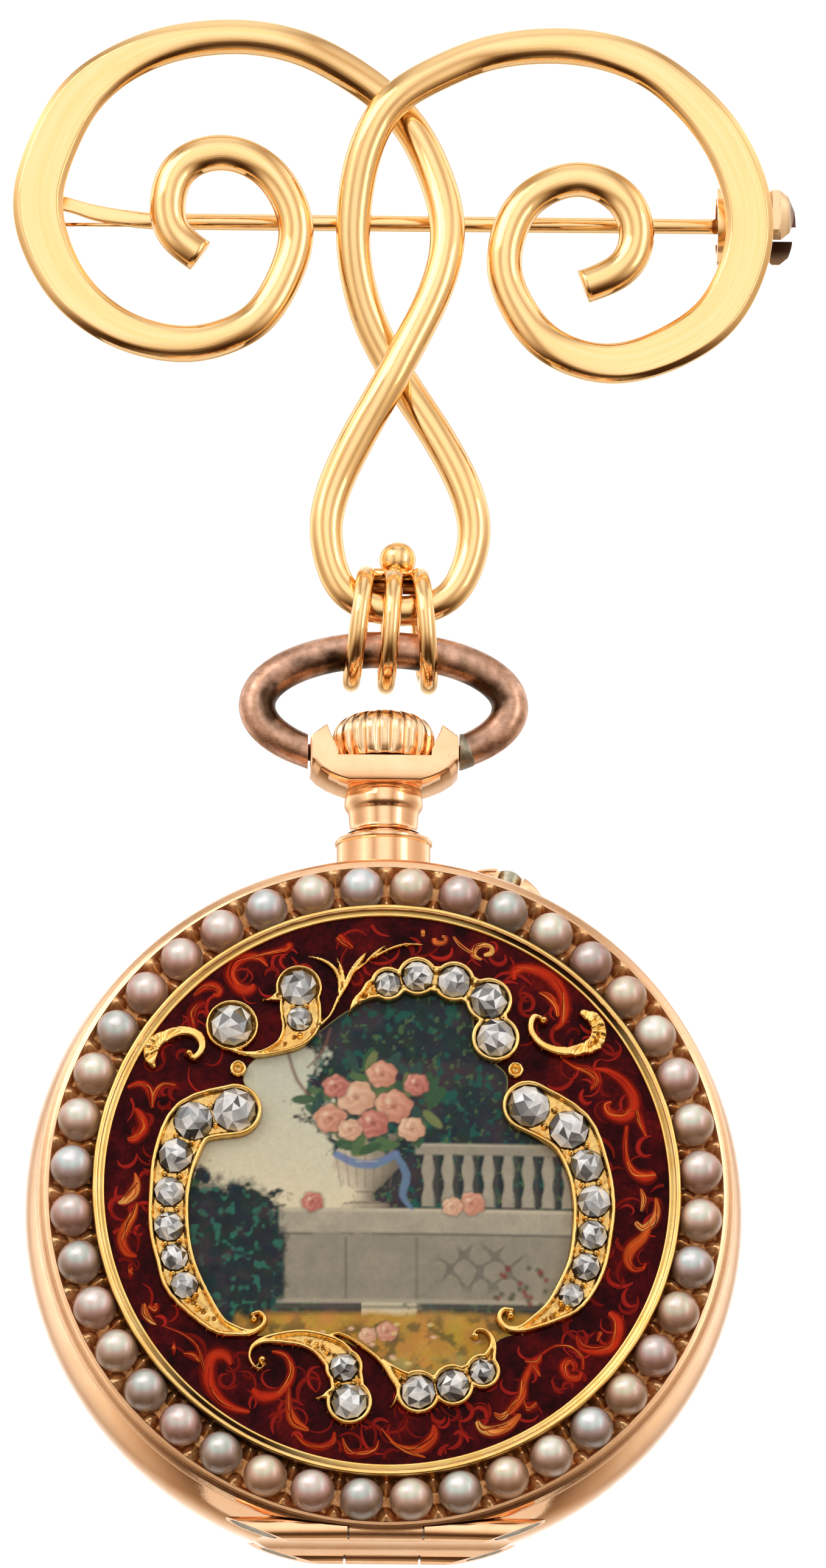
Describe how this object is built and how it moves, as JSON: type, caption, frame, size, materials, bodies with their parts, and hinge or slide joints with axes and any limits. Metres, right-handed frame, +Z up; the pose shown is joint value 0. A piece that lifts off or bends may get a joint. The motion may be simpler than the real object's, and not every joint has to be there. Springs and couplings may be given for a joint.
{
  "type": "pendant watch",
  "caption": "Round pearl-edged pendant watch with an enamelled back cover, hung by link rings from a scrolled wire brooch.",
  "frame": {"origin": "middle of the brooch's pin stem, where the jewel is pinned on, with the watch hanging below it", "axes": "+Z up, +X to the right of someone who looks at the decorated back cover, -Y towards them, +Y into the garment"},
  "size_m": [0.0309, 0.0091, 0.0622],
  "materials": {
    "yellow_gold": "polished yellow gold",
    "rose_gold": "satin rose gold, lightly worn",
    "copper_gold": "tarnished red gold",
    "steel": "dull grey-green steel",
    "enamel": "glassy red enamel, standing in as a glossy hard material",
    "painted_enamel": "glossy painted enamel",
    "pearl": "lustrous pearl",
    "diamond": "rose-cut diamond",
    "dial_white": "white enamel",
    "crystal_glass": "clear polished glass"
  },
  "bodies": {
    "brooch": {"scroll_wire": "yellow_gold", "pin_hinge": "yellow_gold", "catch_shell": "yellow_gold"},
    "pin": {"pin_stem": "yellow_gold"},
    "catch_lever": {"catch_roller": "yellow_gold"},
    "bail": {"link_rings": "yellow_gold"},
    "bow": {"bow": "copper_gold"},
    "watch": {"case_body": "rose_gold", "cover_hinge_pin": "steel", "bezel_hinge_pin": "steel", "movement": "yellow_gold", "dial": "dial_white", "cuvette": "yellow_gold"},
    "crown": {"crown": "rose_gold"},
    "set_pin": {"set_pin": "steel"},
    "cover": {"back_cover": "yellow_gold", "pearls": "pearl", "enamel_plate": "enamel", "miniature_plate": "painted_enamel", "left_setting": "yellow_gold", "right_setting": "yellow_gold", "top_setting": "yellow_gold", "plume_setting": "yellow_gold", "lower_setting": "yellow_gold", "gold_accents": "yellow_gold", "diamonds": "diamond"},
    "bezel": {"bezel": "rose_gold", "crystal": "crystal_glass"},
    "hour_hand": {"hour_hand": "steel"},
    "minute_hand": {"minute_hand": "steel"}
  },
  "joints": [
    {"name": "pin_hinge", "type": "hinge", "parent": "brooch", "child": "pin", "pos_m": [-0.01335, 0, 0], "axis": [0, 0, 1], "range_deg": [0, 75]},
    {"name": "catch_turn", "type": "hinge", "parent": "brooch", "child": "catch_lever", "pos_m": [0.0142, 0, 0], "axis": [1, 0, 0], "range_deg": [0, 100]},
    {"name": "bail_swing", "type": "hinge", "parent": "brooch", "child": "bail", "pos_m": [0.0006, -0.0026, -0.01655], "axis": [1, 0, 0], "range_deg": [-35, 35]},
    {"name": "bow_swing", "type": "hinge", "parent": "bail", "child": "bow", "pos_m": [0.0003, -0.0026, -0.0181], "axis": [1, 0, 0], "range_deg": [-35, 35]},
    {"name": "watch_swing", "type": "hinge", "parent": "bow", "child": "watch", "pos_m": [0, -0.0026, -0.02228], "axis": [1, 0, 0], "range_deg": [-50, 50]},
    {"name": "crown_turn", "type": "hinge", "parent": "watch", "child": "crown", "pos_m": [0, -0.0026, -0.0218], "axis": [0, 0, 1], "continuous": true},
    {"name": "set_pin_push", "type": "slide", "parent": "watch", "child": "set_pin", "axis": [-0.342, 0, -0.9397], "range_m": [0, 0.00035], "stiffness_N_per_m": 1500, "springref_m": -0.0001},
    {"name": "cover_hinge", "type": "hinge", "parent": "watch", "child": "cover", "pos_m": [0, -0.0052, -0.0542], "axis": [1, 0, 0], "range_deg": [0, 105]},
    {"name": "bezel_hinge", "type": "hinge", "parent": "watch", "child": "bezel", "pos_m": [0, -0.00062, -0.05405], "axis": [-1, 0, 0], "range_deg": [0, 100]},
    {"name": "minute_turn", "type": "hinge", "parent": "watch", "child": "minute_hand", "pos_m": [0, -0.0004, -0.0409], "axis": [0, -1, 0], "continuous": true},
    {"name": "hour_turn", "type": "hinge", "parent": "watch", "child": "hour_hand", "pos_m": [0, -0.0007, -0.0409], "axis": [0, -1, 0], "continuous": true}
  ],
  "couplings": [
    {"joint": "hour_turn", "follows": "minute_turn", "ratio": 0.083333}
  ]
}
